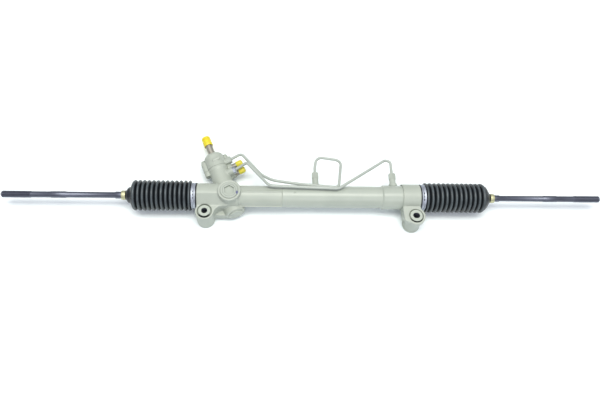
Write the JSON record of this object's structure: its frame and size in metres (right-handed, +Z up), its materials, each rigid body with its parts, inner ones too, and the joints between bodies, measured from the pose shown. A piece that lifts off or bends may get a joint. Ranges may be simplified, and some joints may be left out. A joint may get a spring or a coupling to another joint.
{
  "type": "power steering rack",
  "caption": "Rack and pinion power steering gear with rotary valve, cylinder lines, bellows, inner ball joints and threaded tie rods.",
  "frame": {"origin": "axis of the left mounting bolt at the seating face", "axes": "+X along the rack from the pinion end to the right bracket, +Y from the mounting bolts across the rack, +Z up, away from the seating faces"},
  "size_m": [1.254, 0.2164, 0.072],
  "materials": {
    "cast_housing": "matt",
    "tube_paint": "satin",
    "bare_steel": "satin",
    "zinc_steel": "satin",
    "dark_steel": "satin",
    "rubber_black": "matt",
    "bronze": "satin",
    "seal_rubber": "matt",
    "plastic_white": "matt",
    "plastic_yellow": "satin",
    "plastic_pale_yellow": "satin"
  },
  "bodies": {
    "housing": {"cylinder_tube": "tube_paint", "feed_cap": "plastic_pale_yellow", "feed_union": "zinc_steel", "gear_housing": "cast_housing", "inner_rack_bush": "bronze", "inner_rack_seal": "seal_rubber", "input_bearing": "bare_steel", "input_seal": "seal_rubber", "left_bellows": "rubber_black", "left_bush_rubber": "seal_rubber", "left_bush_sleeve": "tube_paint", "left_large_clamp": "zinc_steel", "line_left": "tube_paint", "line_nuts": "zinc_steel", "line_right": "tube_paint", "lower_bearing_balls": "bare_steel", "lower_bearing_outer": "bare_steel", "mount_bracket": "cast_housing", "outer_rack_seal": "seal_rubber", "pinion_bush": "bronze", "pinion_cap": "cast_housing", "pinion_seal": "seal_rubber", "rack_end_bush": "plastic_white", "rack_yoke": "bare_steel", "return_cap": "plastic_pale_yellow", "return_union": "zinc_steel", "right_bellows": "rubber_black", "right_bush_rubber": "seal_rubber", "right_bush_sleeve": "tube_paint", "right_large_clamp": "zinc_steel", "tube_ports": "tube_paint", "valve_bolts": "zinc_steel", "valve_housing": "cast_housing", "yoke_liner": "bronze", "yoke_lock_nut": "tube_paint", "yoke_plug": "tube_paint", "yoke_springs": "bare_steel"},
    "rack": {"rack_bar": "bare_steel", "piston": "bare_steel", "piston_seal": "plastic_white", "left_ball_socket": "dark_steel", "right_ball_socket": "dark_steel"},
    "pinion": {"pinion_shaft": "bare_steel", "valve_sleeve": "bare_steel", "valve_rings": "plastic_white", "torsion_bar": "bare_steel", "lower_bearing_inner": "bare_steel"},
    "input": {"input_shaft": "bare_steel", "input_cap": "plastic_yellow"},
    "left_seat": {"left_ball_seat": "plastic_white"},
    "left_clip": {"left_small_clip": "zinc_steel"},
    "left_rod": {"left_tie_rod": "dark_steel"},
    "right_seat": {"right_ball_seat": "plastic_white"},
    "right_clip": {"right_small_clip": "zinc_steel"},
    "right_rod": {"right_tie_rod": "dark_steel"}
  },
  "joints": [
    {"name": "rack_slide", "type": "slide", "parent": "housing", "child": "rack", "axis": [1, 0, 0], "range_m": [-0.0778, 0.0658], "deforming": ["left_bellows", "right_bellows"]},
    {"name": "pinion_turn", "type": "hinge", "parent": "housing", "child": "pinion", "pos_m": [0.0495, 0.0375, 0.0233], "axis": [-0.3665, 0.9304, 0], "range_deg": [-596.5, 505.1]},
    {"name": "input_twist", "type": "hinge", "parent": "pinion", "child": "input", "pos_m": [0.02751, 0.09333, 0.0233], "axis": [-0.3665, 0.9304, 0], "range_deg": [-4, 4], "stiffness_Nm_per_rad": 100},
    {"name": "left_lift", "type": "hinge", "parent": "rack", "child": "left_seat", "pos_m": [-0.119, 0.0375, 0.0385], "axis": [0, 1, 0], "range_deg": [-18, 18], "deforming": ["left_bellows"]},
    {"name": "left_sweep", "type": "hinge", "parent": "left_seat", "child": "left_clip", "pos_m": [-0.119, 0.0375, 0.0385], "axis": [0, 0, 1], "range_deg": [-18, 18], "deforming": ["left_bellows"]},
    {"name": "left_spin", "type": "hinge", "parent": "left_clip", "child": "left_rod", "pos_m": [-0.119, 0.0375, 0.0385], "axis": [1, 0, 0], "continuous": true},
    {"name": "right_lift", "type": "hinge", "parent": "rack", "child": "right_seat", "pos_m": [0.561, 0.0375, 0.0385], "axis": [0, 1, 0], "range_deg": [-18, 18], "deforming": ["right_bellows"]},
    {"name": "right_sweep", "type": "hinge", "parent": "right_seat", "child": "right_clip", "pos_m": [0.561, 0.0375, 0.0385], "axis": [0, 0, 1], "range_deg": [-18, 18], "deforming": ["right_bellows"]},
    {"name": "right_spin", "type": "hinge", "parent": "right_clip", "child": "right_rod", "pos_m": [0.561, 0.0375, 0.0385], "axis": [1, 0, 0], "continuous": true}
  ],
  "couplings": [
    {"joint": "pinion_turn", "follows": "rack_slide", "rad_per_m": 132.92}
  ]
}
